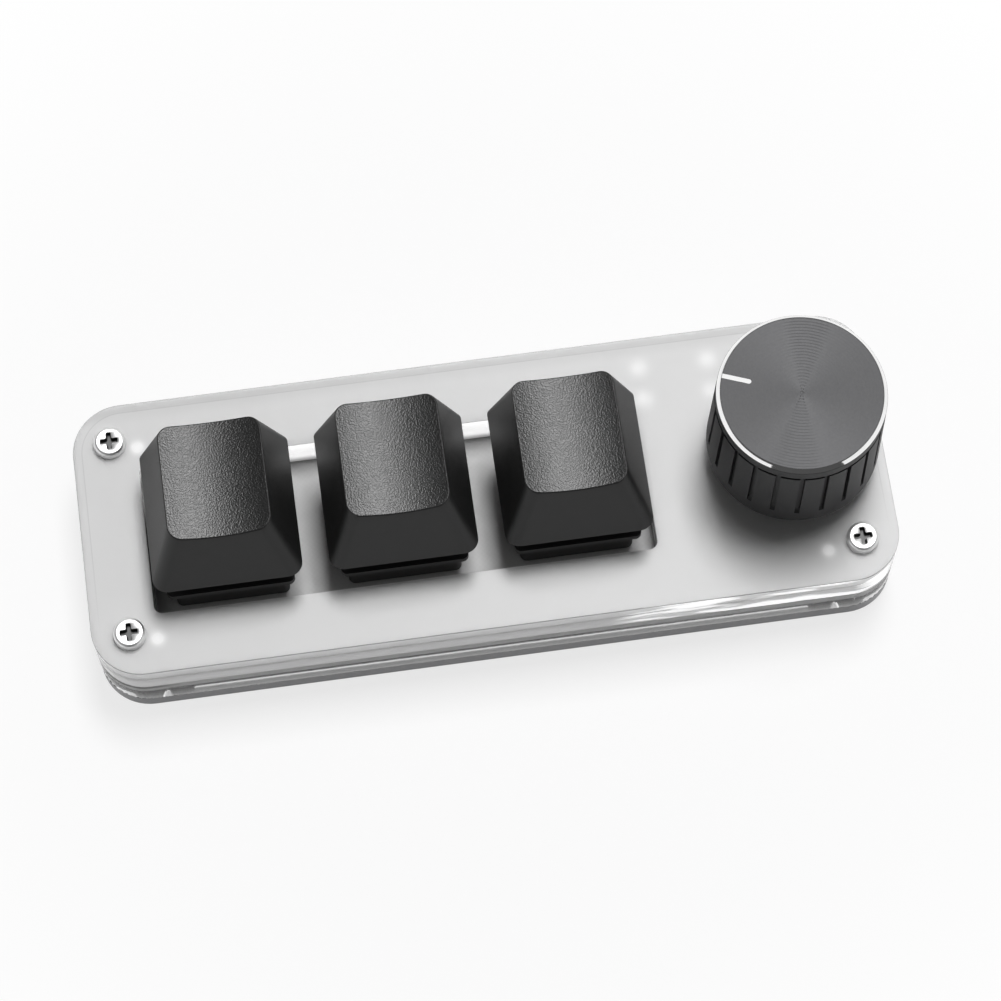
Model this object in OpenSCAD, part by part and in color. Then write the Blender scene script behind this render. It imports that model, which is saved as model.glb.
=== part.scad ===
// Three-key macro keypad with one push-and-turn knob, built as a stack of flat layers.
// Origin: on the table under the middle of the case. +X to the knob, +Y to the rear, +Z up.

/* [Case] */
// Depth of the case from front to back
case_w = 35.2; // [34:0.1:50]
// Corner radius of every layer
corner_r = 6.2; // [3:0.1:8]
// Thickness of the frosted top plate
top_t = 2.2; // [1.5:0.1:3]
// Thickness of the clear frame above the board
upper_t = 3.0; // [2.8:0.1:3.2]
// Thickness of the circuit board
board_t = 1.6; // [1.2:0.1:2]
// Thickness of the clear frame under the board
lower_t = 3.0; // [2.9:0.1:5]
// Thickness of the bottom plate
bottom_t = 2.2; // [2:0.1:3]
// Width of the walls around the lower frame's cavity
frame_wall = 4.0; // [3:0.1:5]
// Thickness of a rubber foot
foot_t = 1.0; // [0.8:0.1:3]
// Diameter of a rubber foot
foot_d = 8.0; // [6:0.1:9]

/* [Screws] */
// Diameter of a case screw's thread
screw_d = 2.0; // [1.6:0.1:2.4]
// Diameter of a case screw's head
head_d = 3.9; // [3.6:0.1:4.4]
// Height of a case screw's head
head_h = 1.3; // [1:0.1:1.6]
// Distance of a screw from the end of the case
screw_end = 4.65; // [4:0.05:6]
// Distance of a screw from the long side of the case
screw_side = 5.1; // [4.5:0.1:6]
// Width across the flats of a nut
nut_af = 4.0; // [4:0.1:4.5]
// Height of a nut
nut_h = 1.6; // [1.2:0.1:1.6]
// Diameter of a locating pin
pin_d = 2.2; // [1.5:0.1:2.4]
// Distance of a locating pin from its screw, along the case
pin_step = 3.3; // [3:0.1:4]

/* [Keys] */
// Spacing of the keys
key_pitch = 21.24; // [20.8:0.01:21.6]
// Distance of the first key's middle from the left end of the case
first_key = 17.46; // [17:0.01:18]
// Place of the row of keys in front of (-) or behind (+) the middle of the case
key_row_y = -0.8; // [-1:0.1:0]
// Depth of the window that the keys stand in
window_w = 19.4; // [18.5:0.1:20]
// Place of the window's middle in front of or behind the middle of the case
window_y = -0.5; // [-1:0.1:0]
// Room in the window beyond the outer keys' middles
window_end = 9.55; // [9:0.05:9.6]
// Width of a keycap at its rim
cap_w = 18.1; // [17.6:0.1:18.4]
// Height of a keycap
cap_h = 8.6; // [8:0.1:9.6]
// Width of a keycap's top face
cap_top_w = 12.3; // [11.5:0.1:13]
// Reach of the top face in front of the key's middle
cap_top_front = 5.6; // [5.4:0.1:6.5]
// Reach of the top face behind the key's middle
cap_top_back = 8.8; // [8:0.1:8.9]
// Depth of the hollow across a keycap's top face
dish_depth = 0.6; // [0.3:0.1:0.9]
// Travel of a key
key_travel = 4.0; // [3:0.1:4]

/* [Knob] */
// Distance of the knob's axis from the last key's middle
knob_step = 27.51; // [27:0.01:32]
// Distance of the knob's axis from the right end of the case
knob_end = 11.45; // [11:0.05:14]
// Place of the knob's axis in front of or behind the middle of the case
knob_y = 0.0; // [-1:0.1:1]
// Radius of the knob at its bottom edge
knob_r = 10.55; // [10:0.05:12]
// Radius of the knob under its bright edge
knob_top_r = 10.15; // [9.8:0.05:11]
// Height of the knob
knob_h = 15.0; // [14.5:0.1:17]
// Number of grooves around the knob
groove_count = 22; // [16:1:26]
// Width of a groove around the knob
groove_w = 0.6; // [0.4:0.1:1]
// Depth of a groove around the knob
groove_depth = 0.5; // [0.3:0.1:0.7]
// Travel of the knob when it is pushed
push_travel = 0.5; // [0.3:0.1:0.5]
// Radius of the knob's shaft
shaft_r = 3.0; // [2.9:0.05:3.1]
// Length of the shaft above the encoder's body
shaft_l = 15.0; // [14.8:0.1:15.5]

/* [Connector] */
// Distance of the connector's middle from the knob's axis, towards the keys
usb_step = 12.5; // [12:0.1:16]
// Width of the connector's shell
usb_w = 8.94; // [8.9:0.01:9.1]
// Height of the connector's shell
usb_h = 3.16; // [3.1:0.01:3.2]
// Length of the connector's shell
usb_l = 7.3; // [7:0.1:8]

/* [Hidden] */
$fn = 64;

// Overrun of every cut past the faces that it opens
over = 0.5;
// Gap around what is pushed into a hole
fit_gap = 0.02;
// Gap around what turns or slides in a hole
run_gap = 0.05;
// Gap around what passes a hole loosely
hole_gap = 0.1;
// Gap around what stands in a cut-out
room_gap = 0.3;
// Facets of the round corners inside a hull
hull_fn = 32;

// Heights of the layers above the table
z_bottom = foot_t;
z_lower = z_bottom + bottom_t;
z_board = z_lower + lower_t;
z_upper = z_board + board_t;
z_top = z_upper + upper_t;
z_face = z_top + top_t;

// Places shared by the layers
case_l = first_key + 2 * key_pitch + knob_step + knob_end;
screw_x = case_l / 2 - screw_end;
screw_y = case_w / 2 - screw_side;
pin_x = screw_x - pin_step;
foot_x = pin_x - pin_d / 2 - foot_d / 2;
foot_y = case_w / 2 - screw_side - screw_d / 2;
keys_x = -case_l / 2 + first_key + key_pitch;
knob_x = case_l / 2 - knob_end;
usb_x = knob_x - usb_step;
window_l = 2 * key_pitch + 2 * window_end;
window_r = 1.0;
corners = [[1, 1], [1, -1], [-1, 1], [-1, -1]];
land_wall = 1.4;
land_l = screw_end + pin_step + pin_d / 2 + land_wall;
land_w = screw_side + pin_d / 2 + land_wall;

// Sizes of a case screw's head and its cross recess
head_edge_r = 0.43;
head_slot_w = 0.56;
head_slot_l = 2.17;
head_slot_depth = 0.78;

// Sizes of a switch, with its heights counted from the board
housing_w = 13.95;
flange_w = 15.6;
flange_t = 1.0;
flange_z = 5.0;
housing_h = 11.6;
cover_w = 10.8;
cover_d = 10.4;
housing_wall = 1.1;
housing_floor = 1.2;
housing_r = 0.8;
peg_l = 2.8;
peg_r = 1.95;
side_peg_r = 0.85;
side_peg_x = 5.08;
stem_w = 7.0;
stem_d = 5.6;
wing_w = 8.4;
wing_d = 4.0;
wing_gap = 0.21;
stem_opening_gap = 0.2;
stem_bore_r = 2.35;
stem_roof = 1.2;
pole_r = 0.95;
pole_l = 6.7;
tube_r = 1.7;
tube_h = 3.2;
cross_l = 4.0;
cross_ts = [1.1, 1.3];
cross_h = 3.6;
spring_wire_r = 0.15;
spring_r = 2.05;
spring_turns = 10;
spring_steps = 8;
spring_sides = 6;
contact_pins = [[-3.81, 2.54], [2.54, 5.08]];
contact_leaf_ys = [4.3, 4.9];
contact_pin_r = 0.5;
contact_pin_l = 2.9;
contact_t = 0.2;
contact_leaf_w = 4.0;
contact_leaf_h = 5.6;
contact_link_z = 0.6;
contact_link_t = 0.3;
stem_bottom = housing_floor + key_travel + hole_gap;
stem_top = housing_h;
spring_top = stem_top - stem_roof;

// Sizes of a keycap, with its heights counted from its rim
cap_wall = 1.4;
cap_roof = 1.5;
cap_rim_r = 1.8;
cap_top_r = 1.7;
cap_slice = 0.2;
socket_r = 2.75;
socket_inset = 0.4;
dish_r = (pow(cap_top_w / 2, 2) + pow(dish_depth, 2)) / (2 * dish_depth);
z_rim = z_upper + stem_top - socket_inset;

// Sizes of the encoder, with its heights counted from the board
encoder_w = 12.0;
encoder_h = 6.5;
can_t = 0.4;
can_lift = 0.3;
can_lug_w = 2.0;
can_lug_l = 2.2;
bushing_r = 3.5;
bushing_l = 5.0;
bushing_chamfer = 0.4;
flange_plate_t = 1.2;
encoder_base_h = 2.4;
well_floor = 0.4;
well_gap = 0.2;
dome_t = 0.2;
dome_h = 0.7;
dome_r = 2.8;
plunger_r = 2.6;
plunger_t = 0.75;
rotor_r = 4.9;
rotor_t = 1.2;
rotor_gap = 0.2;
detent_count = 20;
detent_r = 0.4;
detent_ring_t = 0.3;
detent_ring_inner_r = 3.4;
detent_nub_h = 0.1;
terminal_w = 0.8;
terminal_t = 0.3;
terminal_z = 0.8;
terminal_step = 2.5;
terminal_y = 7.5;
switch_terminal_y = 7.0;
terminal_tail = 2.2;
encoder_base_w = encoder_w - 2 * can_t - 2 * fit_gap;
flat_at_share = 0.5;
flat_l = 10.0;
plunger_z = well_floor + dome_h;
shaft_z = plunger_z + plunger_t + run_gap;
shaft_top = encoder_h + shaft_l;
flange_z_low = encoder_h - can_t - flange_plate_t;
ring_z = flange_z_low - detent_ring_t;
rotor_z = ring_z - detent_nub_h - rotor_gap - rotor_t;

// Sizes of the knob, with its heights counted from its bottom edge
knob_seat = 12.3;
knob_wall = 2.0;
knob_face_t = 1.2;
knob_chamfer = 0.37;
knob_lip_r = 0.3;
band_low = 12.7;
band_h = 0.3;
band_depth = 0.25;
band_step = 0.06;
groove_low = 2.5;
groove_first = -98;
pointer_angle = 159;
pointer_w = 0.5;
pointer_l = 3.7;
pointer_depth = 0.15;
insert_inset = 1.0;
insert_recess_r = 4.3;
z_knob = z_upper + shaft_top - knob_seat;
insert_recess = z_upper + encoder_h + bushing_l + push_travel + room_gap - z_knob;

// Sizes of the connector and the small parts under the board
usb_wall = 0.3;
usb_r = 1.2;
usb_relief = 0.1;
usb_tab_x = 4.32;
usb_tab_ys = [2.3, 6.5];
usb_tab_w = 1.3;
usb_tab_over = 0.25;
usb_block_l = 2.4;
tongue_w = 6.7;
tongue_t = 0.7;
tongue_l = 4.4;
usb_contact_count = 8;
usb_contact_pitch = 0.75;
usb_contact_w = 0.3;
usb_contact_t = 0.08;
usb_tail_l = 0.9;
chip_w = 6.5;
chip_d = 4.4;
chip_t = 1.0;
chip_lift = 0.1;
chip_step = 17.5;
lead_count = 10;
lead_pitch = 0.65;
lead_w = 0.25;
lead_l = 1.0;
lead_t = 0.15;
lead_rise = 0.5;
chip_part_l = 1.6;
chip_part_w = 0.8;
capacitor_t = 0.8;
resistor_t = 0.45;
capacitor_places = [[-6.5, 0.8], [-6.5, -1.6], [6.5, 0.8]];
resistor_places = [[-5.6, 4.6], [-2.4, 4.6], [2.4, 4.6], [5.6, 4.6]];

function key_x(i) = keys_x + (i - 2) * key_pitch;

module rounded_rect(l, w, r) {
  square([l - 2 * r, w], center = true);
  square([l, w - 2 * r], center = true);
  for (c = corners) {
    translate([c[0] * (l / 2 - r), c[1] * (w / 2 - r)]) circle(r);
  }
}

module slab(l, w, t) {
  translate([-l / 2, -w / 2, 0]) cube([l, w, t]);
}

module at_corners(x, y) {
  for (c = corners) {
    translate([c[0] * x, c[1] * y, 0]) children();
  }
}

module at_keys() {
  for (i = [1:3]) {
    translate([key_x(i), key_row_y, 0]) children();
  }
}

module layer_outline() {
  rounded_rect(case_l, case_w, corner_r);
}

module fastener_holes() {
  at_corners(screw_x, screw_y) circle(screw_d / 2 + hole_gap);
}

module pin_holes() {
  at_corners(pin_x, screw_y) circle(pin_d / 2 + fit_gap);
}

module window() {
  translate([keys_x, window_y]) rounded_rect(window_l, window_w, window_r);
}

module top_plate() {
  opening = encoder_w + 2 * room_gap;
  color("gainsboro") translate([0, 0, z_top]) linear_extrude(top_t) difference() {
    layer_outline();
    fastener_holes();
    window();
    translate([knob_x, knob_y]) square([opening, opening], center = true);
  }
}

module encoder_room() {
  front = terminal_y + terminal_w;
  back = switch_terminal_y + terminal_w;
  translate([knob_x - encoder_w / 2 - room_gap, knob_y - front])
    square([encoder_w + 2 * room_gap, front + back]);
}

module upper_frame() {
  color("white", 0.5) translate([0, 0, z_upper]) linear_extrude(upper_t) difference() {
    layer_outline();
    fastener_holes();
    pin_holes();
    window();
    encoder_room();
    usb_tab_places() square([usb_wall + 4 * room_gap, usb_tab_w + 4 * room_gap], center = true);
  }
}

module usb_tab_places() {
  for (side = [-1, 1], y = usb_tab_ys) {
    translate([usb_x + side * usb_tab_x, case_w / 2 - y]) children();
  }
}

module terminal_places() {
  for (k = [-1:1]) {
    translate([knob_x + k * terminal_step, knob_y - terminal_y]) children();
  }
  for (k = [-1, 1]) {
    translate([knob_x + k * terminal_step, knob_y + switch_terminal_y]) children();
  }
}

module circuit_board() {
  lug_x = encoder_w / 2 - can_t / 2;
  color("whitesmoke") translate([0, 0, z_board]) linear_extrude(board_t) difference() {
    layer_outline();
    fastener_holes();
    pin_holes();
    at_keys() {
      circle(peg_r + run_gap);
      for (side = [-1, 1]) {
        translate([side * side_peg_x, 0]) circle(side_peg_r + run_gap);
      }
      for (p = contact_pins) {
        translate(p) circle(contact_pin_r + run_gap);
      }
    }
    terminal_places() square(terminal_w + 2 * hole_gap, center = true);
    for (side = [-1, 1]) {
      translate([knob_x + side * lug_x, knob_y])
        square([can_t + 2 * hole_gap, can_lug_w + 2 * hole_gap], center = true);
    }
    usb_tab_places() square([usb_wall + 2 * hole_gap, usb_tab_w + 2 * hole_gap], center = true);
  }
}

module lower_frame() {
  cavity_l = case_l - 2 * frame_wall;
  cavity_w = case_w - 2 * frame_wall;
  color("white", 0.5) translate([0, 0, z_lower]) linear_extrude(lower_t) difference() {
    layer_outline();
    fastener_holes();
    pin_holes();
    difference() {
      rounded_rect(cavity_l, cavity_w, window_r);
      at_corners(case_l / 2 - land_l / 2, case_w / 2 - land_w / 2)
        rounded_rect(land_l, land_w, window_r);
    }
    encoder_room();
    translate([usb_x - usb_w / 2 - hole_gap, 0])
      square([usb_w + 2 * hole_gap, case_w / 2 + over]);
  }
}

module bottom_plate() {
  relief = usb_h - lower_t + usb_relief;
  color("dimgray") translate([0, 0, z_bottom]) difference() {
    linear_extrude(bottom_t) difference() {
      layer_outline();
      fastener_holes();
    }
    at_corners(screw_x, screw_y) translate([0, 0, -over])
      cylinder(h = over + nut_h, r = nut_af / 2 / cos(30) + hole_gap, $fn = 6);
    translate([usb_x - usb_w / 2 - hole_gap, case_w / 2 - usb_l - hole_gap, bottom_t - relief])
      cube([usb_w + 2 * hole_gap, usb_l + hole_gap + over, relief + over]);
  }
}

module case_screws() {
  shank_l = z_face - z_bottom;
  color("silver") at_corners(screw_x, screw_y) translate([0, 0, z_bottom]) difference() {
    union() {
      cylinder(h = shank_l + over, r = screw_d / 2);
      translate([0, 0, shank_l]) rotate_extrude() {
        square([head_d / 2 - head_edge_r, head_h]);
        square([head_d / 2, head_h - head_edge_r]);
        translate([head_d / 2 - head_edge_r, head_h - head_edge_r]) circle(head_edge_r);
      }
    }
    for (turn = [0, 90]) {
      rotate(turn) translate([0, 0, shank_l + head_h - head_slot_depth])
        slab(head_slot_l, head_slot_w, head_slot_depth + over);
    }
  }
}

module case_nuts() {
  color("silver") at_corners(screw_x, screw_y) translate([0, 0, z_bottom]) difference() {
    cylinder(h = nut_h, r = nut_af / 2 / cos(30), $fn = 6);
    translate([0, 0, -over]) cylinder(h = nut_h + 2 * over, r = screw_d / 2 + fit_gap);
  }
}

module locating_pins() {
  color("lightgray") at_corners(pin_x, screw_y) translate([0, 0, z_lower])
    cylinder(h = z_top - z_lower, r = pin_d / 2);
}

module rubber_feet() {
  color("black") at_corners(foot_x, foot_y) cylinder(h = foot_t, r = foot_d / 2);
}

module cap_block(w, top_w, front, back, h, rim_r, top_r) {
  hull() {
    linear_extrude(cap_slice) rounded_rect(w, w, rim_r, $fn = hull_fn);
    translate([0, (back - front) / 2, h - cap_slice]) linear_extrude(cap_slice)
      rounded_rect(top_w, front + back, top_r, $fn = hull_fn);
  }
}

module cross_shape(gap) {
  square([cross_l + 2 * gap, cross_ts[0] + 2 * gap], center = true);
  square([cross_ts[1] + 2 * gap, cross_l + 2 * gap], center = true);
}

module keycap(i) {
  inner_h = cap_h - cap_roof;
  color("black") translate([key_x(i), key_row_y, z_rim]) difference() {
    union() {
      difference() {
        cap_block(cap_w, cap_top_w, cap_top_front, cap_top_back, cap_h, cap_rim_r, cap_top_r);
        translate([0, 0, -cap_slice])
          cap_block(cap_w - 2 * cap_wall, cap_top_w - 2 * cap_wall, cap_top_front - cap_wall,
            cap_top_back - cap_wall, inner_h + cap_slice, cap_rim_r - cap_wall / 2,
            cap_top_r - cap_wall / 2);
      }
      translate([0, 0, socket_inset]) cylinder(h = inner_h - socket_inset + cap_slice, r = socket_r);
    }
    translate([0, 0, socket_inset - cap_slice]) linear_extrude(cap_slice + cross_h + fit_gap)
      cross_shape(fit_gap);
    translate([0, cap_w, cap_h - dish_depth + dish_r]) rotate([90, 0, 0])
      cylinder(h = 2 * cap_w, r = dish_r, $fn = 180);
  }
}

module switch_stem(i) {
  body_h = stem_top - stem_bottom;
  wing_h = housing_h - housing_wall - hole_gap - stem_bottom;
  color("saddlebrown") translate([key_x(i), key_row_y, z_upper + stem_bottom]) {
    difference() {
      union() {
        slab(stem_w, stem_d, body_h);
        slab(wing_w, wing_d, wing_h);
      }
      translate([0, 0, -over]) cylinder(h = body_h - stem_roof + over, r = stem_bore_r);
    }
    translate([0, 0, body_h - stem_roof - pole_l]) cylinder(h = pole_l + stem_roof / 2, r = pole_r);
    translate([0, 0, body_h - stem_roof / 2]) linear_extrude(cross_h + stem_roof / 2) cross_shape(0);
  }
}

module coil(low, high) {
  rings = spring_turns * spring_steps;
  points = [
    for (i = [0:rings], s = [0:spring_sides - 1])
      let (a = 360 * i / spring_steps, b = 360 * s / spring_sides,
        r = spring_r + spring_wire_r * cos(b),
        z = low + spring_wire_r + (high - low - 2 * spring_wire_r) * i / rings)
      [r * cos(a), r * sin(a), z + spring_wire_r * sin(b)]
  ];
  sides = [
    for (i = [0:rings - 1], s = [0:spring_sides - 1])
      let (n = (s + 1) % spring_sides, p = i * spring_sides, q = p + spring_sides)
      each [[p + s, q + s, q + n], [p + s, q + n, p + n]]
  ];
  first = [for (s = [0:spring_sides - 1]) s];
  last = [for (s = [spring_sides - 1:-1:0]) rings * spring_sides + s];
  polyhedron(points, concat(sides, [first, last]));
}

module switch_spring(i) {
  color("silver") translate([key_x(i), key_row_y, z_upper]) coil(housing_floor, spring_top);
}

module contact_pins_at(gap) {
  for (p = contact_pins) {
    translate([p[0], p[1], -contact_pin_l - over])
      cylinder(h = contact_pin_l + housing_floor + over, r = contact_pin_r + gap);
  }
}

module switch_base(i) {
  cavity = housing_w - 2 * housing_wall;
  slot_y = contact_pins[0][1] - contact_pin_r - hole_gap;
  color("dimgray") translate([key_x(i), key_row_y, z_upper]) difference() {
    union() {
      linear_extrude(flange_z) rounded_rect(housing_w, housing_w, housing_r);
      translate([0, 0, flange_z]) linear_extrude(flange_t)
        rounded_rect(flange_w, flange_w, housing_r);
      translate([0, 0, -peg_l]) cylinder(h = peg_l + housing_floor / 2, r = peg_r);
      for (side = [-1, 1]) {
        translate([side * side_peg_x, 0, -peg_l])
          cylinder(h = peg_l + housing_floor / 2, r = side_peg_r);
      }
    }
    translate([0, 0, housing_floor]) difference() {
      slab(cavity, cavity, flange_z + flange_t);
      translate([0, 0, -over]) cylinder(h = tube_h + over, r = tube_r);
    }
    translate([0, 0, stem_top - stem_roof - pole_l - key_travel - hole_gap])
      cylinder(h = housing_h, r = pole_r + run_gap);
    contact_pins_at(run_gap);
    translate([-cavity / 2, slot_y, contact_link_z]) cube([cavity, cavity / 2 - slot_y, flange_z]);
  }
}

module switch_cover(i) {
  low = flange_z + flange_t;
  h = housing_h - low;
  color("gray") translate([key_x(i), key_row_y, z_upper + low]) difference() {
    hull() {
      linear_extrude(cap_slice) rounded_rect(housing_w, housing_w, housing_r, $fn = hull_fn);
      translate([0, 0, h - cap_slice]) linear_extrude(cap_slice)
        rounded_rect(cover_w, cover_d, housing_r, $fn = hull_fn);
    }
    hull() {
      translate([0, 0, -cap_slice])
        slab(housing_w - 2 * housing_wall, housing_w - 2 * housing_wall, cap_slice);
      translate([0, 0, h - housing_wall - cap_slice])
        slab(wing_w + 2 * wing_gap, cover_d - 2 * housing_wall, cap_slice);
    }
    slab(stem_w + 2 * stem_opening_gap, stem_d + 2 * stem_opening_gap, housing_h);
  }
}

module switch_contacts(i) {
  color("goldenrod") translate([key_x(i), key_row_y, z_upper]) {
    for (k = [0, 1]) {
      p = contact_pins[k];
      leaf_y = contact_leaf_ys[k];
      translate([p[0], p[1], -contact_pin_l])
        cylinder(h = contact_pin_l + contact_link_z + contact_link_t, r = contact_pin_r);
      translate([p[0] - contact_pin_r, min(p[1], leaf_y), contact_link_z])
        cube([2 * contact_pin_r, abs(leaf_y - p[1]) + contact_t, contact_link_t]);
      translate([min(p[0] - contact_pin_r, -contact_leaf_w / 2), leaf_y, contact_link_z])
        cube([contact_leaf_w / 2 + max(abs(p[0]) + contact_pin_r, contact_leaf_w / 2),
          contact_t, contact_link_t]);
      translate([-contact_leaf_w / 2, leaf_y, contact_link_z])
        cube([contact_leaf_w, contact_t, contact_leaf_h - contact_link_z]);
    }
  }
}

module knob_shell() {
  inner_r = knob_top_r - knob_wall;
  inner_h = knob_h - knob_face_t;
  groove_h = band_low - groove_low;
  color("dimgray") translate([knob_x, knob_y, z_knob]) difference() {
    rotate_extrude($fn = 180) polygon([
      [inner_r, 0], [knob_r - knob_lip_r, 0], [knob_r, knob_lip_r],
      [knob_top_r + band_step, band_low], [knob_top_r - band_depth, band_low],
      [knob_top_r - band_depth, band_low + band_h], [knob_top_r, band_low + band_h],
      [knob_top_r, knob_h - knob_chamfer], [knob_top_r - knob_chamfer, knob_h], [0, knob_h],
      [0, inner_h], [inner_r, inner_h]
    ]);
    for (k = [0:groove_count - 1]) {
      rotate(groove_first + 360 * k / groove_count)
        translate([knob_top_r - groove_depth, -groove_w / 2, groove_low])
        cube([2 * groove_depth + knob_r - knob_top_r, groove_w, groove_h + band_h / 2]);
    }
    rotate(pointer_angle) translate([knob_top_r - pointer_l, -pointer_w / 2, knob_h - pointer_depth])
      cube([pointer_l, pointer_w, pointer_depth + over]);
  }
}

module shaft_shape(r, gap) {
  difference() {
    circle(r + gap);
    translate([flat_at_share * r + gap, -2 * r]) square([2 * r, 4 * r]);
  }
}

module knob_insert() {
  r = knob_top_r - knob_wall - fit_gap;
  h = knob_h - knob_face_t - insert_inset;
  low = knob_seat - insert_inset;
  color("black") translate([knob_x, knob_y, z_knob + insert_inset]) difference() {
    cylinder(h = h, r = r);
    translate([0, 0, -over]) cylinder(h = insert_recess - insert_inset + over, r = insert_recess_r);
    translate([0, 0, -over]) cylinder(h = low - flat_l + over, r = shaft_r + fit_gap);
    linear_extrude(low) shaft_shape(shaft_r, fit_gap);
  }
}

module encoder_shaft() {
  color("silver") translate([knob_x, knob_y, z_upper]) {
    translate([0, 0, shaft_z]) cylinder(h = shaft_top - flat_l - shaft_z, r = shaft_r);
    translate([0, 0, shaft_top - flat_l]) linear_extrude(flat_l) shaft_shape(shaft_r, 0);
  }
}

module encoder_rotor() {
  color("ivory") translate([knob_x, knob_y, z_upper + rotor_z]) linear_extrude(rotor_t)
    difference() {
      circle(rotor_r);
      circle(shaft_r + fit_gap);
      for (k = [0:detent_count - 1]) {
        rotate(360 * k / detent_count) translate([rotor_r, 0]) circle(detent_r);
      }
    }
}

module encoder_bushing() {
  color("lightgray") translate([knob_x, knob_y, z_upper]) difference() {
    union() {
      translate([0, 0, flange_z_low]) slab(encoder_base_w, encoder_w - 2 * can_t, flange_plate_t);
      translate([0, 0, flange_z_low]) rotate_extrude() polygon([
        [0, 0], [bushing_r, 0],
        [bushing_r, encoder_h + bushing_l - flange_z_low - bushing_chamfer],
        [bushing_r - bushing_chamfer, encoder_h + bushing_l - flange_z_low],
        [0, encoder_h + bushing_l - flange_z_low]
      ]);
    }
    cylinder(h = encoder_h + bushing_l + over, r = shaft_r + run_gap);
  }
}

module encoder_can() {
  lug_h = can_lug_l + can_lift;
  color("silver") translate([knob_x, knob_y, z_upper]) difference() {
    union() {
      translate([0, 0, can_lift]) slab(encoder_w, encoder_w - 2 * can_t, encoder_h - can_lift);
      for (side = [-1, 1]) {
        translate([side * (encoder_w - can_t) / 2, 0, -can_lug_l])
          slab(can_t, can_lug_w, lug_h + over);
      }
    }
    translate([0, 0, -can_lug_l - over])
      slab(encoder_w - 2 * can_t, encoder_w + over, can_lug_l + over + encoder_h - can_t);
    cylinder(h = encoder_h + over, r = bushing_r + fit_gap);
  }
}

module encoder_base() {
  color("black") translate([knob_x, knob_y, z_upper]) difference() {
    slab(encoder_base_w, encoder_w - 2 * can_t, encoder_base_h);
    translate([0, 0, well_floor]) cylinder(h = encoder_base_h, r = shaft_r + well_gap);
  }
}

module encoder_detent_spring() {
  ring_r = rotor_r - detent_r / 2;
  nub_r = (ring_r - detent_ring_inner_r) / 3;
  color("goldenrod") translate([knob_x, knob_y, z_upper + ring_z]) {
    linear_extrude(detent_ring_t) difference() {
      circle(ring_r);
      circle(detent_ring_inner_r);
    }
    for (side = [-1, 1]) {
      translate([side * (ring_r + detent_ring_inner_r) / 2, 0, -detent_nub_h])
        cylinder(h = detent_nub_h + detent_ring_t / 2, r = nub_r);
    }
  }
}

module encoder_plunger() {
  color("ivory") translate([knob_x, knob_y, z_upper + plunger_z])
    cylinder(h = plunger_t, r = plunger_r);
}

module encoder_dome() {
  color("silver") translate([knob_x, knob_y, z_upper + well_floor]) rotate_extrude() polygon([
    [0, dome_h - dome_t], [plunger_r / 2, dome_h - dome_t], [dome_r - dome_t, 0], [dome_r, 0],
    [dome_r, dome_t / 2], [plunger_r / 2, dome_h], [0, dome_h]
  ]);
}

module terminal(reach) {
  translate([-terminal_w / 2, 0, terminal_z]) cube([terminal_w, reach, terminal_t]);
  translate([-terminal_w / 2, reach - terminal_t, -terminal_tail])
    cube([terminal_w, terminal_t, terminal_tail + terminal_z + terminal_t]);
}

module encoder_terminals() {
  side_y = encoder_w / 2 - can_t;
  color("silver") translate([knob_x, knob_y, z_upper]) {
    for (k = [-1:1]) {
      translate([k * terminal_step, -side_y, 0]) mirror([0, 1, 0])
        terminal(terminal_y - side_y + terminal_t / 2);
    }
    for (k = [-1, 1]) {
      translate([k * terminal_step, side_y, 0])
        terminal(switch_terminal_y - side_y + terminal_t / 2);
    }
  }
}

module usb_outline(inset) {
  rounded_rect(usb_w - 2 * inset, usb_h - 2 * inset, usb_r - inset);
}

module at_usb() {
  translate([usb_x, case_w / 2, z_board - usb_h / 2]) rotate([90, 0, 0]) children();
}

module usb_shell() {
  color("silver") {
    at_usb() difference() {
      linear_extrude(usb_l) usb_outline(0);
      translate([0, 0, -over]) linear_extrude(usb_l + over - usb_wall) usb_outline(usb_wall);
    }
    usb_tab_places() translate([0, 0, z_board - usb_h / 2])
      slab(usb_wall, usb_tab_w, usb_h / 2 + board_t + usb_tab_over);
  }
}

module usb_tongue() {
  back = usb_l - usb_wall;
  color("black") at_usb() {
    translate([0, 0, back - usb_block_l]) linear_extrude(usb_block_l) usb_outline(usb_wall + fit_gap);
    translate([0, 0, back - usb_block_l - tongue_l])
      translate([-tongue_w / 2, -tongue_t / 2, 0]) cube([tongue_w, tongue_t, tongue_l + over]);
  }
}

module usb_contacts() {
  front = usb_l - usb_wall - usb_block_l - tongue_l;
  color("gold") at_usb() {
    for (k = [0:usb_contact_count - 1], side = [0, 1]) {
      x = (k - (usb_contact_count - 1) / 2) * usb_contact_pitch;
      y = side * (tongue_t + usb_contact_t) - tongue_t / 2 - usb_contact_t;
      translate([x - usb_contact_w / 2, y, front + usb_contact_pitch])
        cube([usb_contact_w, usb_contact_t, tongue_l - usb_contact_pitch]);
    }
  }
}

module at_chip() {
  translate([knob_x - chip_step, knob_y - chip_lift, z_board]) children();
}

module controller_chip() {
  color("black") at_chip() translate([0, 0, -chip_lift - chip_t]) slab(chip_w, chip_d, chip_t);
}

module chip_leads() {
  color("silver") at_chip() {
    for (k = [0:lead_count - 1], side = [-1, 1]) {
      x = (k - (lead_count - 1) / 2) * lead_pitch;
      bend = lead_l / 3;
      translate([x, side * (chip_d / 2 + bend / 2), -lead_rise]) slab(lead_w, bend, lead_t);
      translate([x, side * (chip_d / 2 + bend - lead_t / 2), -lead_rise])
        slab(lead_w, lead_t, lead_rise);
      translate([x, side * (chip_d / 2 + (lead_l + bend - lead_t) / 2), -lead_t])
        slab(lead_w, lead_l - bend + lead_t, lead_t);
    }
  }
}

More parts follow.
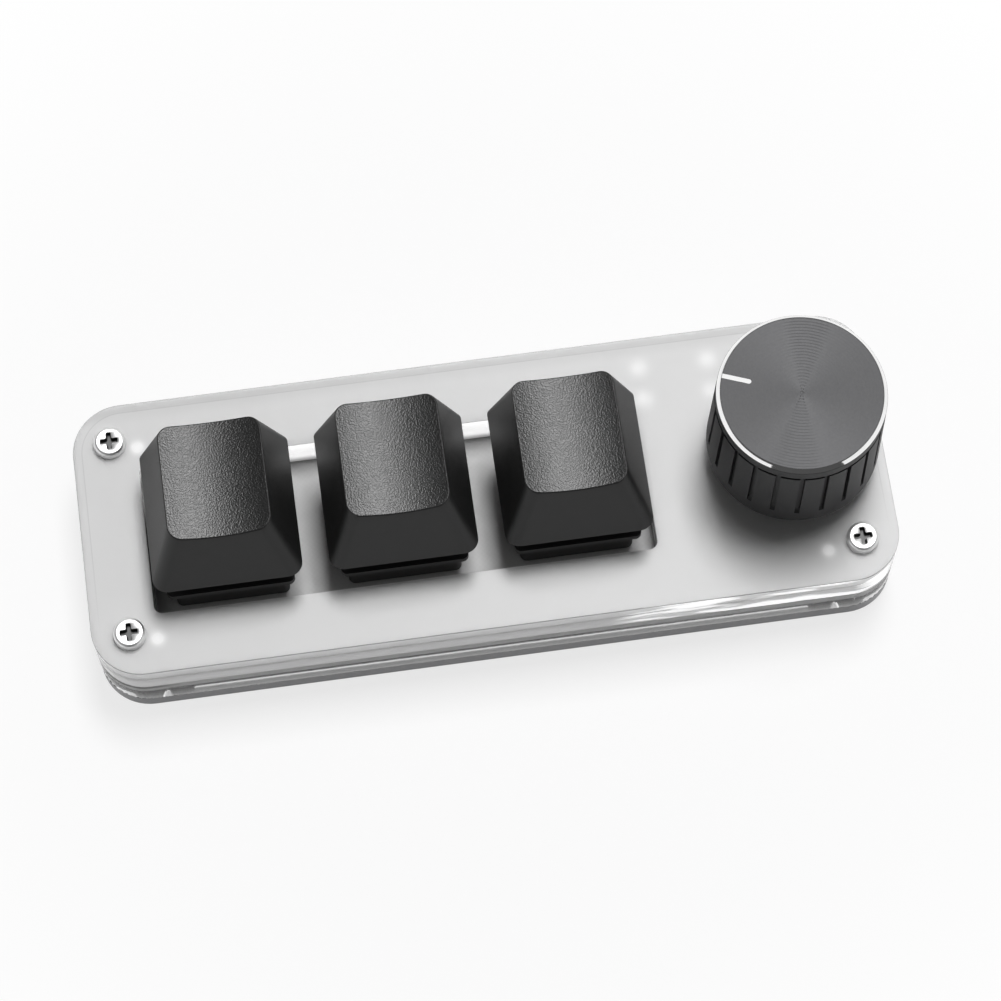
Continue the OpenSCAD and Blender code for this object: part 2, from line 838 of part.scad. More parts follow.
module capacitors() {
  color("tan") at_chip() {
    for (p = capacitor_places) {
      translate([p[0], p[1], -capacitor_t]) slab(chip_part_w, chip_part_l, capacitor_t);
    }
  }
}

module resistors() {
  color("black") at_chip() {
    for (p = resistor_places) {
      translate([p[0], p[1], -resistor_t]) slab(chip_part_l, chip_part_w, resistor_t);
    }
  }
}

top_plate();
upper_frame();
circuit_board();
lower_frame();
bottom_plate();
case_screws();
case_nuts();
locating_pins();
rubber_feet();
keycap(1);  // keycap_1
keycap(2);  // keycap_2
keycap(3);  // keycap_3
switch_stem(1);  // switch_stem_1
switch_stem(2);  // switch_stem_2
switch_stem(3);  // switch_stem_3
switch_spring(1);  // switch_spring_1
switch_spring(2);  // switch_spring_2
switch_spring(3);  // switch_spring_3
switch_base(1);  // switch_base_1
switch_base(2);  // switch_base_2
switch_base(3);  // switch_base_3
switch_cover(1);  // switch_cover_1
switch_cover(2);  // switch_cover_2
switch_cover(3);  // switch_cover_3
switch_contacts(1);  // switch_contacts_1
switch_contacts(2);  // switch_contacts_2
switch_contacts(3);  // switch_contacts_3
knob_shell();
knob_insert();
encoder_shaft();
encoder_rotor();
encoder_bushing();
encoder_can();
encoder_base();
encoder_detent_spring();
encoder_plunger();
encoder_dome();
encoder_terminals();
usb_shell();
usb_tongue();
usb_contacts();
controller_chip();
chip_leads();
capacitors();
resistors();
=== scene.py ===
# %% [markdown]
# A desk keypad: three sprung keys and one push-and-turn knob on a screwed stack of flat sheets.
# The solids come packed, at their real size and in their real place. This lesson dresses them: it
# keeps the solids whose shape is already right, and makes finer surfaces for what shows most.

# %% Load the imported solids
import math

import bmesh
import bpy
import numpy as np
from mathutils import Matrix, Vector
from mathutils.geometry import delaunay_2d_cdt


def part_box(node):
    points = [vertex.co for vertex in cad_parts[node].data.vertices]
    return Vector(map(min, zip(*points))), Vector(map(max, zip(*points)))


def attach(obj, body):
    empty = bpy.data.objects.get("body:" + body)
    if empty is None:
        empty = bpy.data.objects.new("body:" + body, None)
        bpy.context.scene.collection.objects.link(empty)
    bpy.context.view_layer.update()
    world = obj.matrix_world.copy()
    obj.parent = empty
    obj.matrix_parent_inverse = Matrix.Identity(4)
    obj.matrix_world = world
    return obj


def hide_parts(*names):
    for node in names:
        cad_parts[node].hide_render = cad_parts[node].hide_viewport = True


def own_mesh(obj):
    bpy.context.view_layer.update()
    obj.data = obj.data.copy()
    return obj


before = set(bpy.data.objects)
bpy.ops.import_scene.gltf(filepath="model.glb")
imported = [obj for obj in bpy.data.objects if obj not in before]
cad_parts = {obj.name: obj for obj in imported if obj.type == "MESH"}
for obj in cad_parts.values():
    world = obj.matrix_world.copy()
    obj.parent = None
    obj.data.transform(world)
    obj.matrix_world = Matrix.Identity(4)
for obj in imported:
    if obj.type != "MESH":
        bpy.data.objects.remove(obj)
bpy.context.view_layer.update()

# %% [markdown]
# Blender works in metres, and a maker of small things thinks in millimetres. All sizes below are in
# millimetres, and one factor turns them into metres when a mesh or a lamp is made. Most places are
# read from the boxes of the solids.

# %% Millimetres and boxes
MM = 0.001


def box_of(node):
    """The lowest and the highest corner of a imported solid, in millimetres."""
    low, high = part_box(node)
    return np.array(low) / MM, np.array(high) / MM


def foot_of(node):
    """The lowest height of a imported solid, in millimetres."""
    return float(box_of(node)[0][2])


plate_low, plate_high = box_of("top_plate")
case_l, case_w = (float(side) for side in (plate_high - plate_low)[:2])
z_face, z_top = float(plate_high[2]), float(plate_low[2])
z_upper = foot_of("upper_frame")
z_board = foot_of("circuit_board")
z_lower = foot_of("lower_frame")
print(f"case {case_l:.1f} x {case_w:.1f} mm, its top {z_face:.1f} mm above the table")

# %% [markdown]
# The camera stands above the near left of the keypad with a long lens, as a product photographer's
# does. Its place and its three turns are real values: how far it is turned from straight back, how
# steeply it looks down, and how much it leans.

# %% Camera
camera_at = (-16.41, -148.03, 404.01)
camera_turn = 7.102
camera_down = 69.302
camera_lean = -0.783
camera_lens = 122.85
nearest_seen, farthest_seen = 10.0, 20000.0
camera_data = bpy.data.cameras.new("camera")
camera_data.lens = camera_lens
camera_data.clip_start = nearest_seen * MM
camera_data.clip_end = farthest_seen * MM
camera = bpy.data.objects.new("camera", camera_data)
bpy.context.scene.collection.objects.link(camera)
camera.matrix_world = (
    Matrix.Translation([value * MM for value in camera_at])
    @ Matrix.Rotation(math.radians(-camera_turn), 4, "Z")
    @ Matrix.Rotation(math.radians(90 - camera_down), 4, "X")
    @ Matrix.Rotation(math.radians(camera_lean), 4, "Z")
)
bpy.context.scene.camera = camera
bpy.context.scene.view_settings.view_transform = "Standard"
print("camera at", camera_at, "mm")

# %% [markdown]
# A material is a small sum: this much noise, minus that mask, times a strength. Written with boxes
# and wires such a sum is long to read. Here one small class wraps a socket, and Python's own signs
# add the Math nodes, so that a mask can be written as 1 - distance / width.


# %% Shader sums
class Wire:
    """A value in a shader, which takes part in sums with numbers and with other wires."""

    def __init__(self, tree, socket):
        self.tree, self.socket = tree, socket

    def maths(self, operation, *terms):
        made = self.tree.nodes.new("ShaderNodeMath")
        made.operation = operation
        for place, term in enumerate(terms):
            if isinstance(term, Wire):
                self.tree.links.new(term.socket, made.inputs[place])
            else:
                made.inputs[place].default_value = term
        return Wire(self.tree, made.outputs[0])

    def __add__(self, other):
        return self.maths("ADD", self, other)

    def __sub__(self, other):
        return self.maths("SUBTRACT", self, other)

    def __rsub__(self, other):
        return self.maths("SUBTRACT", other, self)

    def __mul__(self, other):
        return self.maths("MULTIPLY", self, other)

    def __truediv__(self, other):
        return self.maths("DIVIDE", self, other)

    def __rtruediv__(self, other):
        return self.maths("DIVIDE", other, self)

    def __pow__(self, other):
        return self.maths("POWER", self, other)

    def __abs__(self):
        return self.maths("ABSOLUTE", self)

    def above(self, other):
        return self.maths("MAXIMUM", self, other)

    def below(self, other):
        return self.maths("MINIMUM", self, other)

    __radd__ = __add__
    __rmul__ = __mul__


def rise(value, low, high):
    """Goes smoothly from 0 to 1 as the wire value goes from low to high."""
    share = ((value - low) / (high - low)).above(0.0).below(1.0)
    return share * share * (3.0 - 2.0 * share)


def bell(x, y, width):
    """A round soft spot: e to the power of minus the squared distance over the squared width."""
    return x.maths("EXPONENT", (x * x + y * y) * (-1.0 / width**2))


def grey(level):
    return (level, level, level)


# %% [markdown]
# Every other node comes from one method. It takes the node's type, then its settings, then the
# values or wires of its sockets. Patterns are placed by Object coordinates: the pieces sit at the
# origin, so these are real places on the keypad, and a grain keeps its size on every piece.


# %% Finishes
class Finish:
    """The nodes of one material, or of the surround."""

    def __init__(self, owner):
        owner.use_nodes = True
        self.owner, self.tree = owner, owner.node_tree
        self.tree.nodes.clear()

    def node(self, kind, settings=None, sockets=None, output=0):
        made = self.tree.nodes.new(kind)
        for key, value in (settings or {}).items():
            setattr(made, key, value)
        for key, value in (sockets or {}).items():
            if isinstance(value, Wire):
                self.tree.links.new(value.socket, made.inputs[key])
            else:
                made.inputs[key].default_value = value
        return Wire(self.tree, made.outputs[output]) if made.outputs else None

    def place(self):
        return self.node("ShaderNodeTexCoord", output="Object")

    def parts(self, vector):
        """The three parts of a vector, each as a wire of its own."""
        return [self.node("ShaderNodeSeparateXYZ", None, {0: vector}, axis) for axis in range(3)]

    def axes(self):
        """The three coordinates, in millimetres."""
        return [part / MM for part in self.parts(self.place())]

    def grain(self, size, detail=2.0, stretch=(1.0, 1.0, 1.0)):
        """Soft noise from 0 to 1, whose lumps are about size millimetres wide."""
        spread = [1.0 / (size * MM * share) for share in stretch]
        moved = self.node("ShaderNodeMapping", None, {"Vector": self.place(), "Scale": spread})
        return self.node("ShaderNodeTexNoise", None, {"Vector": moved, "Scale": 1.0, "Detail": detail})

    def blend(self, share, first, second):
        """A colour that goes from the first to the second as share goes from 0 to 1."""
        first = first if isinstance(first, Wire) else (*first, 1.0)
        second = second if isinstance(second, Wire) else (*second, 1.0)
        return self.node("ShaderNodeMix", {"data_type": "RGBA"}, {0: share, 6: first, 7: second}, 2)

    def bump(self, height, depth):
        """Turns a pattern of 0 to 1 into a relief of depth millimetres."""
        return self.node("ShaderNodeBump", None, {"Height": height, "Distance": depth * MM})

    def surface(self, **sockets):
        """Ends the material with one Principled shader: a socket's name has _ for each space."""
        named = {key.replace("_", " "): value for key, value in sockets.items()}
        return self.end(self.node("ShaderNodeBsdfPrincipled", None, named))

    def end(self, shader, kind="ShaderNodeOutputMaterial"):
        self.node(kind, None, {"Surface": shader})
        return self.owner


def new_finish(name):
    return Finish(bpy.data.materials.new(name))


# %% [markdown]
# The room is a pale floor, one soft lamp and a surround. The lamp is a panel that lies level, high
# above the far right of the keypad. The surround is a dim ceiling over a white paper backdrop that
# stands all round, with one dark gap in front where the camera's stand is. The camera, metal and
# glass see the paper as plain white, and so they see the floor far off. Near the keypad the floor
# keeps a part of the shadow.

# %% Room
white, black = grey(1.0), grey(0.0)
floor_half = 4000.0
floor_shade = (0.95, 0.95, 0.955)
floor_white = 1.02
paper_near = 0.75
paper_from, paper_to = 30.0, 150.0
paper_top, paper_blur = 0.46, 0.03
gap_half, gap_blur = 0.68, 0.02
ceiling_level = 0.08
lamp_size = (420.0, 690.0)
lamp_at = (215.0, 420.0, 1450.0)
lamp_watts = 19.0


def seen_directly(finish):
    """1 for the rays that show a background: those of the camera, of a mirror and of glass."""
    kinds = ("Camera", "Glossy", "Transmission")
    rays = [finish.node("ShaderNodeLightPath", output=f"Is {kind} Ray") for kind in kinds]
    return (rays[0] + rays[1] + rays[2]).below(1.0)


def floor_finish():
    """Pale paint, partly blended to plain white paper, and wholly so far from the keypad."""
    finish = new_finish("floor_paper")
    x, y, _ = finish.axes()
    far = rise((x * x + y * y) ** 0.5, paper_from, paper_to)
    far = (paper_near + (1.0 - paper_near) * far) * seen_directly(finish)
    paint = finish.node("ShaderNodeBsdfDiffuse", None, {"Color": (*floor_shade, 1.0)})
    paper = finish.node("ShaderNodeEmission", None, {"Strength": floor_white})
    return finish.end(finish.node("ShaderNodeMixShader", None, {0: far, 1: paint, 2: paper}))


def light_surround():
    """The ceiling's level, and white paper below a height, except where the direction's share to
    the side is less than a fixed part of its share to the front."""
    world = bpy.data.worlds.new("surround")
    bpy.context.scene.world = world
    finish = Finish(world)
    sky = finish.node("ShaderNodeTexCoord", output="Generated")
    side, back, up = finish.parts(sky)
    gap = rise(abs(side) + back * gap_half, 0.0, gap_blur)
    paper = (1.0 - rise(up, paper_top, paper_top + paper_blur)) * gap * seen_directly(finish)
    level = ceiling_level + (1.0 - ceiling_level) * paper
    light = finish.node("ShaderNodeBackground", None, {"Color": (*white, 1.0), "Strength": level})
    finish.end(light, "ShaderNodeOutputWorld")


floor_mesh = bpy.data.meshes.new("floor")
floor_corners = np.array([(-1, -1, 0), (1, -1, 0), (1, 1, 0), (-1, 1, 0)]) * (floor_half * MM)
floor_mesh.from_pydata(floor_corners, [], [(0, 1, 2, 3)])
floor_mesh.materials.append(floor_finish())
floor = bpy.data.objects.new("floor", floor_mesh)
bpy.context.scene.collection.objects.link(floor)
light_surround()

lamp_data = bpy.data.lights.new("soft_box", "AREA")
lamp_data.shape = "RECTANGLE"
lamp_data.size, lamp_data.size_y = (side * MM for side in lamp_size)
lamp_data.energy = lamp_watts
lamp = bpy.data.objects.new("soft_box", lamp_data)
bpy.context.scene.collection.objects.link(lamp)
lamp.matrix_world = Matrix.Translation([value * MM for value in lamp_at])
print("lamp at", lamp_at, "mm")

# %% [markdown]
# Most of the keypad is cut from sheet: a closed outline with rounded corners, holes inside it, and
# a thickness. An outline here is two arrays, its points and the directions that leave the material.
# Each corner is an arc: its middle lies a radius inside both sides, and the direction turns evenly.
# A hole is the same thing gone round the other way, so that its directions point into the hole.


# %% Outlines
def outline(corners, radius, steps=8, between=0):
    """Points round a polygon with rounded corners, and their outward directions.

    At a corner the direction turns evenly from one side's normal to the other's. A point is the
    arc's middle plus the radius times that direction, or minus it where the corner bends inwards.
    The points between two corners are evenly spaced and share the side's normal.
    """
    corners = np.array(corners, float)
    radius = np.broadcast_to(radius, len(corners))
    before = corners - np.roll(corners, 1, axis=0)
    before /= np.linalg.norm(before, axis=1, keepdims=True)
    after = np.roll(before, -1, axis=0)
    cross = before[:, 0] * after[:, 1] - before[:, 1] * after[:, 0]
    turn = np.arctan2(cross, (before * after).sum(1))
    signed = np.sign(turn) * radius
    reach = radius * np.abs(np.tan(turn / 2))
    left = np.stack([-before[:, 1], before[:, 0]], axis=1)
    middle = corners - before * reach[:, None] + left * signed[:, None]
    start = np.arctan2(-left[:, 1], -left[:, 0])
    angle = start[:, None] + turn[:, None] * np.linspace(0, 1, steps + 1)
    out = np.stack([np.cos(angle), np.sin(angle)], axis=2)
    points = middle[:, None] + out * signed[:, None, None]
    share = np.arange(1, between + 1)[None, :, None] / (between + 1)
    side = points[:, -1:] + (np.roll(points[:, :1], -1, axis=0) - points[:, -1:]) * share
    points = np.concatenate([points, side], axis=1)
    out = np.concatenate([out, np.repeat(out[:, -1:], between, axis=1)], axis=1)
    return points.reshape(-1, 2), out.reshape(-1, 2)


def rectangle(length, width, middle=(0.0, 0.0), hole=False):
    """The four corners of a rectangle, in the order that its outline goes."""
    unit = np.array([(-0.5, -0.5), (0.5, -0.5), (0.5, 0.5), (-0.5, 0.5)])
    corners = unit * (length, width) + middle
    return corners[::-1] if hole else corners


def circle(middle, radius, hole=False):
    """A round outline of 48 points: the middle plus the radius times the direction."""
    angle = np.linspace(0, 2 * np.pi, 48, endpoint=False)
    angle = angle[::-1] if hole else angle
    ray = np.stack([np.cos(angle), np.sin(angle)], axis=1)
    return ray * radius + middle, (-ray if hole else ray)


def sweep(line, profile):
    """Carries a profile along an outline, as rings from the profile's first point to its last.

    A profile is pairs of a move outwards and a height: each point of the outline goes that far
    along its own outward direction.
    """
    points, out = line
    profile = np.array(profile, float)
    moved = points[None] + profile[:, 0, None, None] * out[None]
    height = np.broadcast_to(profile[:, 1, None, None], (*moved.shape[:2], 1))
    return np.concatenate([moved, height], axis=2)


def arc_rows(middle, height, radius, start, end, steps):
    """An arc as rows of a profile: the middle and its height, plus the radius times the sine and
    the cosine of an angle, which is in degrees and starts straight up."""
    turn = np.radians(np.linspace(start, end, steps + 1))
    return list(zip(middle + radius * np.sin(turn), height + radius * np.cos(turn)))


def sheet_profile(top, bottom, edge, margin):
    """A sheet's side from top to bottom: a short flat margin, a quarter round, the straight wall, a
    quarter round and a margin. The margins keep the flat faces flat when they are shaded."""
    over = arc_rows(-edge, top - edge, edge, 0, 90, 3)
    under = arc_rows(-edge, bottom + edge, edge, 90, 180, 3)
    return [(-edge - margin, top), *over, *under, (-edge - margin, bottom)]


print("a rounded square has", len(outline(rectangle(10, 10), 2)[0]), "points")

# %% [markdown]
# A piece is gathered patch by patch: grids of rings for what is swept, and flat fills for what lies
# inside an outline. One class numbers the points, joins the patches where they meet, and hands the
# finished piece to the body that it rides on.


# %% Pieces
merge_within = 0.0005


def lift(points, height):
    """Puts flat points at a height, or each at its own."""
    return np.column_stack([points, np.broadcast_to(height, len(points))])


class Piece:
    """Patches of one or more closed surfaces, in millimetres, and the mesh that they make."""

    def __init__(self):
        self.points, self.faces, self.finishes, self.count = [], [], [], 0

    def add(self, points, faces, finishes=0):
        self.points.append(points)
        self.faces += (np.asarray(faces) + self.count).tolist()
        self.finishes += np.broadcast_to(finishes, len(faces)).tolist()
        self.count += len(points)

    def grid(self, rings, finish=0):
        """Faces between each ring and the next, every ring closed on itself. finish is a slot
        number, or one for each step from ring to ring."""
        index = np.arange(rings.shape[0] * rings.shape[1]).reshape(rings.shape[:2])
        ahead = np.roll(index, -1, axis=1)
        faces = np.stack([index[:-1], index[1:], ahead[1:], ahead[:-1]], axis=-1).reshape(-1, 4)
        steps = np.broadcast_to(finish, len(rings) - 1)
        self.add(rings.reshape(-1, 3), faces, np.repeat(steps, rings.shape[1]))

    def fill(self, loops, height, up=True, finish=0):
        """A flat face inside the first loop and outside the others.

        A triangle belongs to it where a line from its middle to the right crosses the loops an odd
        number of times.
        """
        here = np.concatenate(loops)
        ahead = np.concatenate([np.roll(loop, -1, axis=0) for loop in loops])
        starts = np.cumsum([0] + [len(loop) for loop in loops])
        spans = [np.arange(a, b) for a, b in zip(starts[:-1], starts[1:])]
        edges = np.concatenate([np.stack([span, np.roll(span, -1)], axis=1) for span in spans])
        found = delaunay_2d_cdt([Vector(place) for place in here], edges.tolist(), [], 1, 1e-6)
        flat = np.array([tuple(point) for point in found[0]])
        triangles = np.array(found[2])
        first, second, third = (flat[triangles[:, k]] for k in range(3))
        x, y = ((first + second + third) / 3).T[:, :, None]
        between = (here[:, 1] > y) != (ahead[:, 1] > y)
        rising = np.where(here[:, 1] == ahead[:, 1], 1.0, ahead[:, 1] - here[:, 1])
        crossing = here[:, 0] + (y - here[:, 1]) / rising * (ahead[:, 0] - here[:, 0])
        inside = (between & (crossing > x)).sum(1) % 2 == 1
        one, two = second - first, third - first
        wrong = (one[:, 0] * two[:, 1] - one[:, 1] * two[:, 0] > 0) != up
        triangles[wrong] = triangles[wrong][:, ::-1]
        self.add(lift(flat, height), triangles[inside], finish)

    def sheet(self, loops, top, bottom, edge, wall=0, margin=0.05):
        """A sheet with holes: its side goes round every loop, and two flat fills close it. The
        faces take slot 0. wall is the slot number of the walls, or one for each loop."""
        profile = sheet_profile(top, bottom, edge, margin)
        for line, around in zip(loops, np.broadcast_to(wall, len(loops))):
            finishes = np.full(len(profile) - 1, around)
            finishes[[0, -1]] = 0
            self.grid(sweep(line, profile), finishes)
        inner = [points + profile[0][0] * out for points, out in loops]
        self.fill(inner, top)
        self.fill(inner, bottom, False)

    def build(self, name, body, slot, materials, stands_for=(), sharp=40.0):
        """Makes the mesh, joins what meets, and puts the piece on its body."""
        mesh = bpy.data.meshes.new(name)
        mesh.from_pydata(np.concatenate(self.points) * MM, [], self.faces)
        mesh.polygons.foreach_set("material_index", self.finishes)
        for material in materials:
            mesh.materials.append(material)
        work = bmesh.new()
        work.from_mesh(mesh)
        bmesh.ops.remove_doubles(work, verts=work.verts, dist=merge_within * MM)
        open_edges = sum(not edge.is_manifold for edge in work.edges)
        work.to_mesh(mesh)
        work.free()
        mesh.shade_smooth()
        mesh.set_sharp_from_angle(angle=math.radians(sharp))
        made = bpy.data.objects.new(name, mesh)
        bpy.context.scene.collection.objects.link(made)
        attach(made, body)
        if stands_for:
            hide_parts(*stands_for)
        print(f"{name}: {len(mesh.polygons)} faces, {open_edges} open edges")
        return made


# %% [markdown]
# The finishes of the sheets. The top plate is milky sheet with a fine matt face: light wanders
# inside it, so that shadows on it are soft. That is subsurface scattering, with a mean free path of
# three millimetres. The real sheet also pipes light to its polished walls, and bright metal under
# it shows as a pale spot. Both would need many more samples, so they are painted, as a paler colour
# and a faint glow where they show. Shade is painted too: greyer bands and thin dark lines on the
# face near its edges, dim walls in the window but for the far one, and a dark line along the top of
# the outer walls. The clear sheet lower down is a glass-like shader with the sheet's index of
# refraction.

# %% Sheet finishes
corner_r = 6.2
window_size = (61.58, 19.4)
window_y = -0.5
pin_r, head_r = 1.1, 1.95
pin_x, pin_y = (float(place) for place in box_of("locating_pins")[1][:2] - pin_r)
screw_x, screw_y = (float(place) for place in box_of("case_screws")[1][:2] - head_r)
shell_low, shell_high = box_of("usb_shell")
usb_x = float(shell_low[0] + shell_high[0]) / 2
tab_x, tab_step = 4.32, 2.1
tab_y = case_w / 2 - 4.4
sheet_ior = 1.49
glow_depth = 3.0
wall_seen, wall_blur = 1.1, 0.1
# Strengths and shades of the painted shade and painted light on the top plate's face.
band_dark, line_dark, rim_dark, rear_rim_dark = 0.14, 0.16, 0.12, 0.30
face_shade, rear_painted_shade = grey(0.74), grey(0.64)
pin_shift_x, pin_shift_y, pin_spot_r, pin_glow = 0.5, 0.85, 0.75, 0.22
tab_shift_y, tab_spot_r, tab_glow = 1.7, 1.15, 0.04
# Where the painted glow and painted shade of the polished walls begin and end.
wall_zone = (0.2, 0.7)
glow_from, glow_full = 13.0, 17.0
inside_glow = {
    "Subsurface_Weight": 1.0, "Subsurface_Radius": white, "Subsurface_Scale": glow_depth * MM,
}


def from_edge(x, y):
    """How far a place is from the case's outline, a rounded rectangle. Along the sides it is the
    smaller of the two distances, and in a corner it is measured from the corner's middle."""
    across = abs(x) - (0.5 * case_l - corner_r)
    back = abs(y) - (0.5 * case_w - corner_r)
    outer, inner = across.above(0.0), across.above(back).below(0.0)
    return corner_r - (outer * outer + back.above(0.0) ** 2.0) ** 0.5 - inner


def frosted_face():
    """The matt faces of the top plate. Painted shade where its far, left and right walls show through
    the face: a greyer band along the far wall, a thin dark line where the band ends and one at the
    very edge, and a greyer far edge. Painted light: bright metal lies under it, and each spot is a
    paler colour with a faint glow, which from the near side shows a little nearer than the metal is."""
    finish = new_finish("frosted_face")
    x, y, _ = finish.axes()
    edge = from_edge(x, y)
    # Painted shade near the edges, where the walls show through: a band, thin dark lines and a greyer
    # rear.
    band = 1.0 - rise(edge, wall_seen - wall_blur, wall_seen + wall_blur)
    line = 1.0 - rise(abs(edge - wall_seen), 0.03, 0.10)
    rim = 1.0 - rise(edge, 0.08, 0.2)
    rear = rise(y, case_w / 2 - 3.0, case_w / 2 - 0.5)
    lines = (line_dark * line + rim_dark * rim) * rise(y, -0.4 * case_w, 0.0)
    walls = lines + (band_dark * band + rear_rim_dark * rim) * rear
    # Painted light: pale, faintly glowing spots over the pins and over the connector's tabs.
    beside, before = abs(x + pin_shift_x), abs(y + pin_shift_y)
    pins = bell(beside - (pin_x - pin_shift_x), before - pin_y, pin_spot_r)
    beside, before = abs(x - usb_x), abs(y + tab_shift_y - tab_y)
    tabs = bell(beside - tab_x, before - tab_step, tab_spot_r)
    bright = (pins + 0.7 * tabs + 0.1 * finish.grain(14.0)).below(1.0)
    lit = finish.blend(bright, finish.blend(rear, face_shade, rear_painted_shade), white)
    return finish.surface(
        Base_Color=finish.blend(walls.below(1.0), lit, grey(0.2)), Emission_Strength=1.0,
        Emission_Color=finish.blend(pin_glow * pins + tab_glow * tabs, black, white),
        Roughness=0.40 + 0.08 * finish.grain(0.5), IOR=sheet_ior,
        Normal=finish.bump(finish.grain(0.12, 3.0), 0.004), **inside_glow,
    )


def polished_wall(name, window):
    """A cut and polished wall of the milky sheets, with the cutter's faint lines along it.

    The sheet carries light sideways to its walls, and that is painted. In the window the far wall
    has a painted glow and the near one a little, and painted shade dims every wall but the far one.
    On the outer walls painted shade draws a dark line along the top, and the right part of the near
    one has a painted glow, in patches.
    """
    finish = new_finish(name)
    x, y, z = finish.axes()
    streaks = finish.grain(0.5, 2.0, (8.0, 8.0, 0.5))
    if window:
        across = y - window_y
        far = 1.0 - rise(window_size[1] / 2 - across, *wall_zone)
        near = 1.0 - rise(window_size[1] / 2 + across, *wall_zone)
        # Painted shade dims every window wall but the far one; a painted glow lies on the far wall and
        # a little on the near one.
        painted_shade = 0.9 * (1.0 - far)
        glow = 0.8 * far * (0.3 + 0.7 * rise(z, z_upper + 0.2, z_upper + 1.8)) + 0.2 * near
    else:
        near = 1.0 - rise(y + case_w / 2, 1.0, 3.0)
        patches = rise(finish.grain(1.0, 1.0, (9.0, 9.0, 1.6)), 0.46, 0.56)
        # Painted shade: a dark line along the top of the outer walls. Below, a painted glow in patches
        # on the right of the near wall.
        painted_shade = rise(z, z_face - 0.34, z_face - 0.2)
        right = near * rise(x, glow_from, glow_full)
        glow = right * (0.08 + 0.5 * patches) * (1.0 - 0.8 * painted_shade)
    pale = finish.blend(streaks, grey(0.86), white)
    return finish.surface(
        Base_Color=finish.blend(painted_shade, pale, grey(0.35)), Roughness=0.06,
        Normal=finish.bump(streaks, 0.004), IOR=sheet_ior, **inside_glow,
        Emission_Color=finish.blend(glow, black, white), Emission_Strength=1.0,
    )


def clear_sheet():
    """Clear sheet, with the faint upright streaks that the cutter leaves on its walls."""
    finish = new_finish("clear_acrylic")
    streaks = finish.grain(0.35, 1.0, (1.0, 1.0, 12.0))
    return finish.surface(
        Base_Color=(0.99, 0.99, 0.99, 1.0), Roughness=0.01 + 0.05 * streaks,
        Normal=finish.bump(streaks, 0.002), IOR=sheet_ior, Transmission_Weight=1.0,
    )


frosted = frosted_face()
milky = polished_wall("polished_wall", False)
window_wall = polished_wall("window_wall", True)
clear = clear_sheet()
print("pins at", np.round((pin_x, pin_y), 2), "screws at", np.round((screw_x, screw_y), 2))

# %% [markdown]
# Each sheet is a touch thinner than its space, so that a film of air parts it from the next, as in a
# real stack. In the clear sheet that film turns the light back inside, and it draws the fine dark
# and bright lines along the sides. The two milky sheets share their outline and the window for the
# keys. In each, the window's walls have a finish of their own.

# %% Top plate and upper frame
air_film = 0.008
sheet_edge = 0.04
screw_hole_r, pin_hole_r = 1.1, 1.12
encoder_hole = 12.6
encoder_room, room_shift = 16.1, -0.25
inner_corner_r = 0.3
tab_slot = (1.5, 2.5)
key_x = [float(np.mean(box_of(f"keycap_{k}"), axis=0)[0]) for k in (1, 2, 3)]
key_y = -0.8
knob_low, knob_high = box_of("knob_shell")
knob_x, knob_y = (float(value) for value in (knob_low + knob_high)[:2] / 2)
corner_signs = [(1, 1), (1, -1), (-1, 1), (-1, -1)]
case_line = outline(rectangle(case_l, case_w), corner_r, 16)
window_line = outline(rectangle(*window_size, (key_x[1], window_y), hole=True), 1.0, 6)
screw_holes = [circle((a * screw_x, b * screw_y), screw_hole_r, hole=True) for a, b in corner_signs]
pin_holes = [circle((a * pin_x, b * pin_y), pin_hole_r, hole=True) for a, b in corner_signs]


def milky_sheet(node, slot, holes, top, bottom):
    """The case's outline with the keys' window, whose walls take slot 2, and more holes."""
    piece = Piece()
    walls = [1, 2] + [1] * len(holes)
    piece.sheet([case_line, window_line, *holes], top, bottom, sheet_edge, walls)
    return piece.build(f"{node}_dressed", "case", slot, [frosted, milky, window_wall], [node])


def top_plate():
    """The plate has a square hole for the encoder, and holes for the screws."""
    square = rectangle(encoder_hole, encoder_hole, (knob_x, knob_y), hole=True)
    holes = [outline(square, inner_corner_r, 3), *screw_holes]
    return milky_sheet("top_plate", "frosted_acrylic", holes, z_face, z_top + air_film)


def upper_frame():
    """The frame has room for the encoder, four slots for the connector's tabs, and round holes."""
    room = rectangle(encoder_hole, encoder_room, (knob_x, knob_y + room_shift), hole=True)
    holes = [outline(room, inner_corner_r, 3)]
    for a, b in corner_signs:
        place = (usb_x + a * tab_x, tab_y + b * tab_step)
        holes.append(outline(rectangle(*tab_slot, place, hole=True), 0.2, 3))
    holes += screw_holes + pin_holes
    return milky_sheet("upper_frame", "clear_acrylic", holes, z_top - air_film, z_upper + air_film)


top_plate()
upper_frame()

# %% [markdown]
# The frame under the board is a ring with a land at each corner, where screw and pin go through,
# and a gap at the rear for the connector. The gap cuts the ring open, so that its outer and its
# inner side are one closed line of twenty corners. It is drawn with the material always on the left.

# %% Lower frame
frame_wall = 4.0
land_l, land_w = 10.45, 7.6
connector_gap = 0.1
land_corner_r = 0.9


